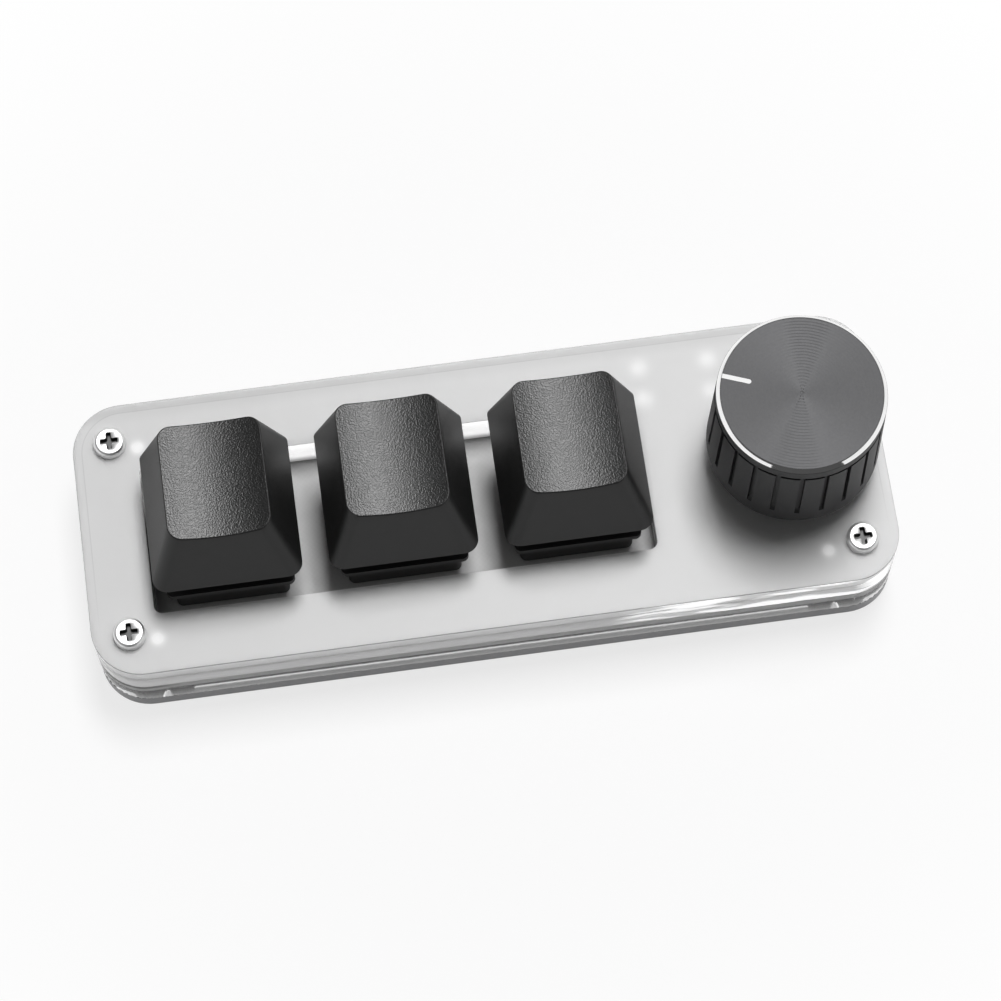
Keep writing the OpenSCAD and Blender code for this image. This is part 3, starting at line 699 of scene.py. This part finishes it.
def lower_frame():
    """One closed outline round the ring and through the connector's gap, and eight round holes."""
    half_l, half_w = case_l / 2, case_w / 2
    in_l, in_w = half_l - frame_wall, half_w - frame_wall
    land_x, land_y = half_l - land_l, half_w - land_w
    left, right = shell_low[0] - connector_gap, shell_high[0] + connector_gap
    outer = [
        (left, half_w), (-half_l, half_w), (-half_l, -half_w),
        (half_l, -half_w), (half_l, half_w), (right, half_w),
    ]
    inner = [
        (right, in_w), (land_x, in_w), (land_x, land_y), (in_l, land_y), (in_l, -land_y),
        (land_x, -land_y), (land_x, -in_w), (-land_x, -in_w), (-land_x, -land_y),
        (-in_l, -land_y), (-in_l, land_y), (-land_x, land_y), (-land_x, in_w), (left, in_w),
    ]
    lip, land = inner_corner_r, land_corner_r
    line = outline(outer + inner, [lip, *[corner_r] * 4, lip, lip, *[land] * 12, lip], 12)
    loops = [line] + screw_holes + pin_holes
    piece = Piece()
    piece.sheet(loops, z_board - air_film, z_lower + air_film, sheet_edge)
    return piece.build("lower_frame_dressed", "case", "clear_acrylic", [clear], ["lower_frame"])


lower_frame()

# %% [markdown]
# The board and the bottom plate keep their imported solids, whose shape is right. Only their finish
# is new: pale solder mask with a faint weave and painted shade along its cut edges, and dark grey
# satin sheet. The small parts inside follow in the same way, each with the metal or the moulding
# that it is made of.


# %% Board, bottom plate and small parts
weave_rate = 9.0


def dress(material, *nodes):
    """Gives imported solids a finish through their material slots."""
    for node in nodes:
        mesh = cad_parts[node].data
        mesh.materials.clear()
        mesh.materials.append(material)


def plastic(name, shade, rough=0.45, size=0.3, depth=0.004, spread=0.12):
    """Moulded plastic: a fine grain in relief, and a slight change of shade and gloss."""
    finish = new_finish(name)
    light = [min(1.0, part * (1 + spread)) for part in shade]
    dark = [part * (1 - spread) for part in shade]
    grain = finish.grain(size, 3.0)
    return finish.surface(
        Base_Color=finish.blend(finish.grain(6.0), dark, light),
        Roughness=rough - 0.06 + 0.12 * grain, Normal=finish.bump(grain, depth),
    )


def metal(name, shade, rough=0.25, stretch=8.0, depth=0.002):
    """Plain metal: a grain that is stretched upwards, and faint clouds of tarnish."""
    finish = new_finish(name)
    streaks = finish.grain(0.15, 2.0, (1.0, 1.0, stretch))
    dark = [part * 0.82 for part in shade]
    return finish.surface(
        Base_Color=finish.blend(finish.grain(3.0), dark, shade), Metallic=1.0,
        Roughness=rough + 0.12 * streaks, Normal=finish.bump(streaks, depth),
    )


def board_mask():
    """Pale solder mask over a woven core: the weave is two sine waves across each other, whose
    rate is in radians to a millimetre. Painted shade darkens the cut edge in a line: low along the
    sides and weaker towards the right, and high round the left corners."""
    finish = new_finish("board_mask")
    x, y, z = finish.axes()
    weave = x.maths("SINE", x * weave_rate) * y.maths("SINE", y * weave_rate) * 0.5 + 0.5
    # Painted shade: a dark line along the board's cut edge.
    corner = 1.0 - rise(x + case_l / 2, 5.0, 11.0)
    fade = 1.0 - rise(x, 10.0, 30.0)
    low = (1.0 - rise(z - z_board, 0.3, 0.4)) * (1.0 - corner) * (0.3 + 0.7 * fade)
    high = rise(z - z_upper, -0.75, -0.65) * corner
    pale = finish.blend(weave * 0.3, grey(0.44), grey(0.39))
    return finish.surface(
        Base_Color=finish.blend(low + high, pale, grey(0.02)),
        Roughness=0.35 + 0.1 * finish.grain(1.0), Normal=finish.bump(weave, 0.003), **inside_glow,
    )


def numbered(*names):
    return [f"{name}_{k}" for name in names for k in (1, 2, 3)]


steel_bright = metal("nickel_plate", (0.86, 0.86, 0.87), 0.14)
dress(board_mask(), "circuit_board")
dress(plastic("dark_sheet", (0.13, 0.13, 0.14), 0.32, 0.2, 0.002), "bottom_plate")
dress(steel_bright, "encoder_terminals", "usb_shell", "chip_leads")
dress(metal("plain_steel", (0.66, 0.66, 0.67), 0.28), "case_nuts", "locating_pins", "encoder_shaft",
      "encoder_can", "encoder_dome", *numbered("switch_spring"))
dress(metal("gilt_spring", (0.83, 0.64, 0.30), 0.22), "encoder_detent_spring", "usb_contacts",
      *numbered("switch_contacts"))
dress(metal("cast_zinc", (0.62, 0.62, 0.63), 0.38, 1.0, 0.01), "encoder_bushing")
dress(plastic("black_moulding", grey(0.016), 0.55), "knob_insert", "encoder_base",
      "usb_tongue", "controller_chip", "resistors", *numbered("switch_base"))
dress(plastic("smoke_cover", (0.012, 0.012, 0.013), 0.5, 0.3, 0.002), *numbered("switch_cover"))
dress(plastic("brown_stem", (0.16, 0.075, 0.035), 0.38), *numbered("switch_stem"))
dress(plastic("natural_moulding", (0.78, 0.75, 0.66), 0.42), "encoder_rotor", "encoder_plunger")
dress(plastic("ceramic_chip", (0.50, 0.37, 0.23), 0.5, 0.1, 0.003), "capacitors")
print("finishes so far:", len(bpy.data.materials))

# %% [markdown]
# Inside each switch a coil spring stands under the stem, and inside the encoder a snap dome lies
# under the plunger. Both give way when they are pressed. Here each one only gets a mesh of its own.


# %% Springs and dome
def shorten(node):
    """Gives the imported solid a mesh of its own."""
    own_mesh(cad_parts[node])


for k in (1, 2, 3):
    shorten(f"switch_spring_{k}")
shorten("encoder_dome")

# %% [markdown]
# The keycaps. A cap is one closed surface: from the middle of its hollow top out to a small round
# edge, down four sloping sides to the rim, and back up inside. Each level is a rounded square, and
# all levels have as many points, so that they join as the rings of one grid. The top is hollow
# across, as part of a cylinder, so the height of a top point comes from its distance from the
# middle, and the top edge of a side follows the same arc.

# %% Keycap shape
cap_w = 18.1
cap_h = 8.6
cap_top = (12.3, 14.4)
cap_top_shift = 1.6
cap_dish = 0.6
cap_wall = 1.4
cap_roof = 1.5
cap_edge, cap_edge_drop = 0.12, 0.18
near_corner_r, far_corner_r = (1.8, 1.7), (0.7, 1.7)
socket_r, socket_up = 2.75, 0.4
socket_arm, socket_slot = 2.02, (0.67, 0.57)
z_rim = 19.0
dish_radius = ((cap_top[0] / 2) ** 2 + cap_dish**2) / (2 * cap_dish)


def cap_ring(k, level, inset=0.0):
    """The rounded square of keycap k at a level from 0, the rim, to 1, the top.

    Length, width, place and corner radius go in a straight line from the rim's to the top's.
    """
    length = cap_w + (cap_top[0] - cap_w) * level - 2 * inset
    width = cap_w + (cap_top[1] - cap_w) * level - 2 * inset
    middle = (key_x[k], key_y + cap_top_shift * level)
    near = near_corner_r[0] + (near_corner_r[1] - near_corner_r[0]) * level - 0.5 * inset
    far = far_corner_r[0] + (far_corner_r[1] - far_corner_r[0]) * level - 0.2 * inset
    return outline(rectangle(length, width, middle), [near, near, far, far], 8, 12)


def dish_drop(x):
    """How far the hollow top lies under the cap's height, at x from its middle: a circle's arc."""
    return np.maximum(cap_dish - dish_radius + np.sqrt(dish_radius**2 - x**2), 0.0)


def cap_outside(k):
    """Rings from the top's middle to the rim, and how many steps of them belong to the top.

    The edge where top and side meet lies at the level that the arc gives at each point. The round
    edge is a curve of three points: one on the top, the edge itself, and one on the side.
    """
    base, _ = cap_ring(k, 0.0)
    upper, out = cap_ring(k, 1.0)
    level = 1.0 - dish_drop(upper[:, 0] - key_x[k]) / cap_h
    corner = base + (upper - base) * level[:, None]
    below = level - cap_edge_drop / cap_h
    side = lift(base + (upper - base) * below[:, None], z_rim + cap_h * below)
    edge = corner - out * cap_edge
    middle = np.array((key_x[k], key_y + cap_top_shift))
    rings = []
    for share in (0.0, 0.12, 0.3, 0.5, 0.7, 0.85, 0.95, 0.99, 1.0):
        flat = middle + (edge - middle) * share
        rings.append(lift(flat, z_rim + cap_h - dish_drop(flat[:, 0] - key_x[k])))
    top_steps = len(rings) - 1
    start, bend = rings[-1], lift(corner, z_rim + cap_h * level)
    for share in np.linspace(0, 1, 6)[1:]:
        rings.append((1 - share) ** 2 * start + 2 * share * (1 - share) * bend + share**2 * side)
    for height in (0.84, 0.7, 0.5, 0.25, 0.04, 0.015):
        rings.append(lift(base + (upper - base) * height, z_rim + cap_h * height))
    rings.append(lift(cap_ring(k, 0.0, 0.03)[0], z_rim + 0.03))
    rings.append(lift(cap_ring(k, 0.0, 0.14)[0], z_rim))
    return rings, top_steps


def cross_outline(middle, half_l, half_x, half_y, radius):
    """A hole in the form of a cross, whose arms are half_x wide one way and half_y the other."""
    quarter = np.array([(-half_x, -half_l), (-half_x, -half_y), (-half_l, -half_y)])
    corners = [quarter, quarter[::-1] * (1, -1), -quarter, quarter[::-1] * (-1, 1)]
    return outline(np.concatenate(corners) + middle, radius, 3)


def keycap(k, finishes):
    """The outside, the flat rim, the inner wall and the flat inner roof, then the stem's socket."""
    rings, top_steps = cap_outside(k)
    inner_level = (cap_h - cap_roof - cap_dish) / cap_h
    roof = z_rim + cap_h * inner_level
    rings.append(lift(cap_ring(k, 0.0, cap_wall - 0.1)[0], z_rim))
    rings.append(lift(cap_ring(k, 0.0, cap_wall)[0], z_rim + 0.1))
    rings.append(lift(cap_ring(k, inner_level, cap_wall)[0], roof - 0.3))
    rings.append(lift(cap_ring(k, inner_level, cap_wall + 0.25)[0], roof))
    middle = np.array((key_x[k], key_y + cap_top_shift * inner_level))
    rings.append(lift(np.tile(middle, (len(rings[-1]), 1)), roof))
    slots = np.zeros(len(rings) - 1, int)
    slots[:top_steps] = 1
    piece = Piece()
    piece.grid(np.stack(rings), slots)
    place = (key_x[k], key_y)
    socket = [circle(place, socket_r), cross_outline(place, socket_arm, *socket_slot, 0.08)]
    piece.sheet(socket, roof + 0.3, z_rim + socket_up, sheet_edge, margin=0.02)
    name, body = f"keycap_{k + 1}", f"key_{k + 1}"
    return piece.build(f"{name}_dressed", body, "keycap_black", finishes, [name])


print("hollow top: an arc of", round(dish_radius, 1), "mm radius")

# %% [markdown]
# A cap's finish: black plastic whose top is stippled like fine leather, and whose sides are smooth
# satin. The stipple is noise with lumps about a fifth of a millimetre wide.

# %% Keycap finish
leather_size, leather_depth = 0.20, 0.014


def cap_top_finish():
    finish = new_finish("keycap_leather")
    lumps = rise(finish.grain(leather_size, 1.0), 0.25, 0.75)
    return finish.surface(
        Base_Color=finish.blend(lumps, grey(0.008), grey(0.014)),
        Roughness=0.27 + 0.06 * finish.grain(1.5), Specular_IOR_Level=0.42,
        Normal=finish.bump(lumps, leather_depth),
    )


def cap_side_finish():
    finish = new_finish("keycap_satin")
    grain = finish.grain(0.16, 3.0)
    return finish.surface(
        Base_Color=finish.blend(finish.grain(5.0), grey(0.011), grey(0.015)),
        Roughness=0.40 + 0.08 * grain, Normal=finish.bump(grain, 0.004), Specular_IOR_Level=0.33,
    )


cap_finishes = [cap_side_finish(), cap_top_finish()]
for k in range(3):
    keycap(k, cap_finishes)

# %% [markdown]
# The knob is turned from bar: a slightly tapered side with 22 narrow milled grooves, a fine ring
# groove above them, a bright cut chamfer, and a face turned with a fine tool that leaves rings. Its
# side is one grid of angle and height. The radius at a height is the taper's, less the groove's
# depth where the angle falls in a groove.

# %% Knob body
z_knob = foot_of("knob_shell")
knob_h = float(knob_high[2]) - z_knob
knob_r, knob_top_r = 10.55, 10.15
knob_lip = 0.3
band_low, band_high, band_r = 12.7, 13.0, 9.9
chamfer = 0.46
groove_count = 22
groove_w, groove_depth, groove_low = 0.6, 0.5, 2.5
groove_first = -98.0
groove_edge = 0.03
bevel = 0.03
run_out = 0.7
knob_inner_r = 8.15
face_t = 1.2
seat_depth = 0.4
groove_half = math.degrees(groove_w / 2 / knob_top_r)
groove_turn = 360.0 / groove_count


def groove_angles():
    """Angles round the knob in degrees: for each groove nine close together at its edges and floor,
    and nine spread over the land that follows it."""
    wall = np.array([-0.12, 0.0, groove_edge, 0.16])
    land = np.linspace(groove_half + 0.5, groove_turn - groove_half - 0.5, 9)
    places = np.concatenate([-groove_half + wall, [0.0], groove_half - wall[::-1], land])
    return (groove_first + groove_turn * np.arange(groove_count)[:, None] + places).ravel()


def groove_share(angle):
    """1 in a groove and 0 on a land, with a steep straight slope at the groove's edge."""
    off = np.abs((angle - groove_first + groove_turn / 2) % groove_turn - groove_turn / 2)
    return np.clip((groove_half - off) / groove_edge, 0.0, 1.0)


def side_radius(z):
    """The radius of the tapered side at a height above the knob's foot."""
    return knob_r + (knob_top_r + 0.06 - knob_r) * (z - knob_lip) / (band_low - knob_lip)


def knob_profile():
    """Rows of radius, height above the knob's foot and share of the groove, from the seat's middle
    over the bright chamfer and down the side, round the lip and up inside. Low down a groove runs
    out as its round cutter leaves it: its depth is full less the square of the way gone."""
    rim_r, seat = knob_top_r - chamfer, knob_h - seat_depth
    cut, under = knob_h - chamfer, band_low - bevel
    rows = [(0, seat, 0), (rim_r - bevel, seat, 0), (rim_r - bevel, knob_h - 0.01, 0)]
    rows += [(rim_r, knob_h, 0), (rim_r + 0.02, knob_h - 0.01, 0)]
    rows += [(knob_top_r - bevel, cut + bevel, 0), (knob_top_r, cut - 0.02, 0)]
    rows += [(knob_top_r, cut - 0.1, 0), (knob_top_r, band_high + 0.1, 0)]
    rows += [(knob_top_r, band_high + bevel, 0), (knob_top_r - bevel, band_high, 0)]
    rows += [(band_r, band_high, 0), (band_r, band_low + 0.16, 0), (band_r, band_low + 0.14, 0.5)]
    rows += [(band_r, band_low, 0.5), (knob_top_r + bevel, band_low, 1)]
    rows += [(side_radius(under), under, 1)]
    rows += [(side_radius(z), z, 1) for z in (under - 0.12, 10.0, 7.5, 5.0, groove_low + run_out)]
    for share in (0.98, 0.9, 0.75, 0.5, 0.0):
        z = groove_low + run_out * (1 - math.sqrt(1 - share))
        rows.append((side_radius(z), z, share))
    rows += [(side_radius(z), z, 0) for z in (groove_low - 0.1, 1.6, 0.8, knob_lip)]
    lip = arc_rows(knob_r - knob_lip, knob_lip, knob_lip, 90, 180, 4)
    rows += [(radius, z, 0) for radius, z in lip[1:]]
    rows += [(knob_r - knob_lip - 0.1, 0, 0), (knob_inner_r + 0.2, 0, 0), (knob_inner_r, 0.2, 0)]
    rows += [(knob_inner_r, knob_h - face_t - 0.2, 0), (knob_inner_r - 0.2, knob_h - face_t, 0)]
    return np.array(rows + [(0, knob_h - face_t, 0)], float)


def turned(middle, turn, radius, height):
    """Rings round an upright axis: the middle plus the radius times the cosine and the sine of the
    turn, at a height that is each ring's own."""
    x, y = middle[0] + radius * np.cos(turn), middle[1] + radius * np.sin(turn)
    return np.stack([x, y, np.broadcast_to(height[:, None], radius.shape)], axis=2)


def knob_body(finishes):
    """Rings of the profile: each point's radius is the row's, less the groove's depth times the
    row's share and the angle's share."""
    angle = groove_angles()
    rows = knob_profile()
    radius = rows[:, 0, None] - groove_depth * rows[:, 2, None] * groove_share(angle)
    slots = np.zeros(len(rows) - 1, int)
    slots[2:5] = 1
    piece = Piece()
    piece.grid(turned((knob_x, knob_y), np.radians(angle), radius, z_knob + rows[:, 1]), slots)
    return piece.build("knob_body", "knob", "dark_anodised", finishes, ["knob_shell"], 35.0)


print(f"{groove_count} grooves, {groove_turn:.1f} degrees apart")

# %% [markdown]
# The face is a disc of its own in a shallow seat, with a narrow notch for the pointer. Its finish
# is turned metal: rings about four tenths of a millimetre apart, and a gloss that is stretched
# across them. Blender measures such a gloss round a piece's own middle, which is one more use of
# a separate face.

# %% Knob face and pointer
pointer_turn = math.radians(159.0)
pointer_w, pointer_l = 0.58, 4.05
face_sink, pointer_sink = 0.02, 0.02
face_r = knob_top_r - chamfer - 0.05
ring_pitch, ring_depth = 0.39, 0.016
fan_turn = math.radians(14.0)


def face_lines():
    """An arc from one side of the notch round to the other, and the notch's rounded inner end."""
    half = math.asin(pointer_w / 2 / face_r)
    angle = pointer_turn + np.linspace(half, 2 * np.pi - half, 180)
    arc = face_r * np.stack([np.cos(angle), np.sin(angle)], axis=1)
    inner = np.linspace(-np.pi / 2, -3 * np.pi / 2, 9)
    along = knob_top_r - pointer_l + pointer_w / 2 * (1 + np.cos(inner))
    c, s = math.cos(pointer_turn), math.sin(pointer_turn)
    nose = np.stack([along, pointer_w / 2 * np.sin(inner)], axis=1) @ [(c, s), (-s, c)]
    return arc + (knob_x, knob_y), nose + (knob_x, knob_y)


def flat_piece(edge, top, bottom):
    """A disc of any outline: a fill above, a fill below and a wall between."""
    piece = Piece()
    piece.fill([edge], top)
    piece.fill([edge], bottom, False)
    piece.grid(np.stack([lift(edge, top), lift(edge, bottom)]))
    return piece


def turned_face():
    """Turned metal: a ring wave along the radius, deeper in two fans where the tool chattered."""
    finish = new_finish("turned_face")
    x, y, _ = finish.axes()
    x, y = x - knob_x, y - knob_y
    radius = (x * x + y * y) ** 0.5
    rings = x.maths("SINE", radius * (2 * math.pi / ring_pitch)) * 0.5 + 0.5
    centre = 1.0 - rise(radius, 0.12, 0.3)
    along = abs(x * math.sin(fan_turn) + y * math.cos(fan_turn)) / radius.above(0.01)
    fan = 0.2 + 0.8 * rise(along, 0.93, 0.985)
    colour = finish.blend(finish.grain(0.3, 3.0), (0.032, 0.032, 0.033), (0.039, 0.039, 0.040))
    relief = rings * fan + 0.2 * finish.grain(0.08) + centre
    return finish.surface(
        Base_Color=colour, Metallic=1.0, Roughness=0.40, Anisotropic=0.75,
        Anisotropic_Rotation=0.25, Normal=finish.bump(relief, ring_depth),
    )


def knob_side():
    """Dark anodised metal with a fine blasted grain."""
    finish = new_finish("anodised_side")
    grain = finish.grain(0.12, 3.0)
    return finish.surface(
        Base_Color=finish.blend(grain, (0.006, 0.006, 0.007), (0.010, 0.010, 0.011)),
        Roughness=0.50 + 0.1 * grain, Normal=finish.bump(grain, 0.002), Specular_IOR_Level=0.38,
    )


arc, nose = face_lines()
face_z = z_knob + knob_h - face_sink
seat_z = z_knob + knob_h - seat_depth
bright_cut = metal("bright_cut", grey(0.95), 0.0, 1.0, 0.0004)
pointer_white = plastic("pointer_white", grey(0.86), 0.4, 0.1, 0.002, 0.03)
knob_body([knob_side(), bright_cut])
face = flat_piece(np.concatenate([arc, nose]), face_z, seat_z)
face.build("knob_face", "knob", "dark_anodised", [turned_face()], (), 30.0)
pointer = flat_piece(np.concatenate([nose[::-1], arc[-1:], arc[:1]]), face_z - pointer_sink, seat_z)
pointer.build("knob_pointer", "knob", "bright_steel", [pointer_white], (), 30.0)

# %% [markdown]
# The case screws have flat round heads with a cross cut into them, and a thread below. Head and
# thread are a profile turned about the screw's own axis, with the thread as a wave that climbs one
# pitch with each turn. The cross is a hole in the head's flat, with a floor of its own; its walls
# and floor are dark metal, a painted shade for the recess. All four screws are one piece.

# %% Case screws
head_h = 1.3
head_edge = 0.43
cross_w, cross_reach, cross_depth = 0.64, 2.2, 0.78
thread_r, thread_pitch, thread_depth = 1.0, 0.4, 0.18
z_foot = 1.0


def screw(piece, middle):
    """A lathe from the head's flat to the screw's end: the radius is the profile's, less the
    thread's depth times a zigzag wave of the height and the turn."""
    top, flat_r, under = z_face + head_h, head_r - head_edge, z_face + 0.005
    rows = [(flat_r - 0.08, top), *arc_rows(flat_r, top - head_edge, head_edge, 0, 90, 5)]
    rows += [(head_r, z_face + 0.03), (head_r - 0.05, under), (thread_r + 0.1, under)]
    rows += [(thread_r, z_face - 0.1)]
    heights = np.arange(z_face - 0.4, z_foot + 0.3, -thread_pitch / 6)
    cut = np.concatenate([np.zeros(len(rows)), np.full(len(heights), thread_depth), np.zeros(3)])
    rows = np.array(rows + [(thread_r, z) for z in heights]
                    + [(thread_r - 0.1, z_foot + 0.15), (thread_r - 0.25, z_foot), (0, z_foot)])
    turn = np.linspace(0, 2 * np.pi, 40, endpoint=False)
    wave = np.abs((rows[:, 1, None] / thread_pitch + turn / (2 * np.pi)) % 1.0 * 2 - 1)
    rings = turned(middle, turn, rows[:, 0, None] - cut[:, None] * wave, rows[:, 1])
    line = cross_outline(middle, cross_reach / 2, cross_w / 2, cross_w / 2, 0.15)
    floor_z = top - cross_depth
    walls = sweep(line, [(-0.05, top), (0.0, top - 0.03), (0.0, top - 0.1), (0.13, floor_z)])
    piece.grid(rings)
    # The cross's walls and floor take finish 1, dark metal that paints the recess's shade.
    piece.grid(walls, [0, 1, 1])
    piece.fill([rings[0, :, :2], walls[0, :, :2]], top)
    piece.fill([walls[-1, :, :2]], floor_z, finish=1)


screws = Piece()
for a, b in corner_signs:
    screw(screws, (a * screw_x, b * screw_y))
# The second finish is painted shade: dark metal for the walls and floor of the sunk cross.
heads = [metal("screw_head", grey(0.90), 0.34, 1.0, 0.001),
         metal("sunk_cross_painted_shade", grey(0.10), 0.42, 1.0, 0.01)]
screws.build("case_screws_dressed", "case", "bright_steel", heads, ["case_screws"])

# %% [markdown]
# The rubber feet are low round pads with a rounded edge and a slightly hollow underside, moulded
# with a fine grain.

# %% Rubber feet
foot_r = 4.0
foot_edge = 0.25
rest_ring, hollow_from, hollow_rim, hollow_middle = 0.9, 1.3, 0.12, 0.15
foot_high = box_of("rubber_feet")[1]
foot_x, foot_y = foot_high[:2] - foot_r


def foot(piece, middle):
    """A lathe: flat top, rounded edges, and an underside that rises slightly to the middle."""
    inner, height = foot_r - foot_edge, foot_high[2]
    rows = [(0, height), (inner - 0.1, height)]
    rows += arc_rows(inner, height - foot_edge, foot_edge, 0, 90, 4)
    rows += arc_rows(inner, foot_edge, foot_edge, 90, 180, 4)
    rows += [(foot_r - rest_ring, 0.0), (foot_r - hollow_from, hollow_rim), (0, hollow_middle)]
    piece.grid(sweep(circle(middle, 0.0), rows))


feet = Piece()
for a, b in corner_signs:
    foot(feet, (a * foot_x, b * foot_y))
rubber = plastic("foot_rubber", grey(0.02), 0.7, 0.15, 0.01)
feet.build("rubber_feet_dressed", "case", "foot_rubber", [rubber], ["rubber_feet"])
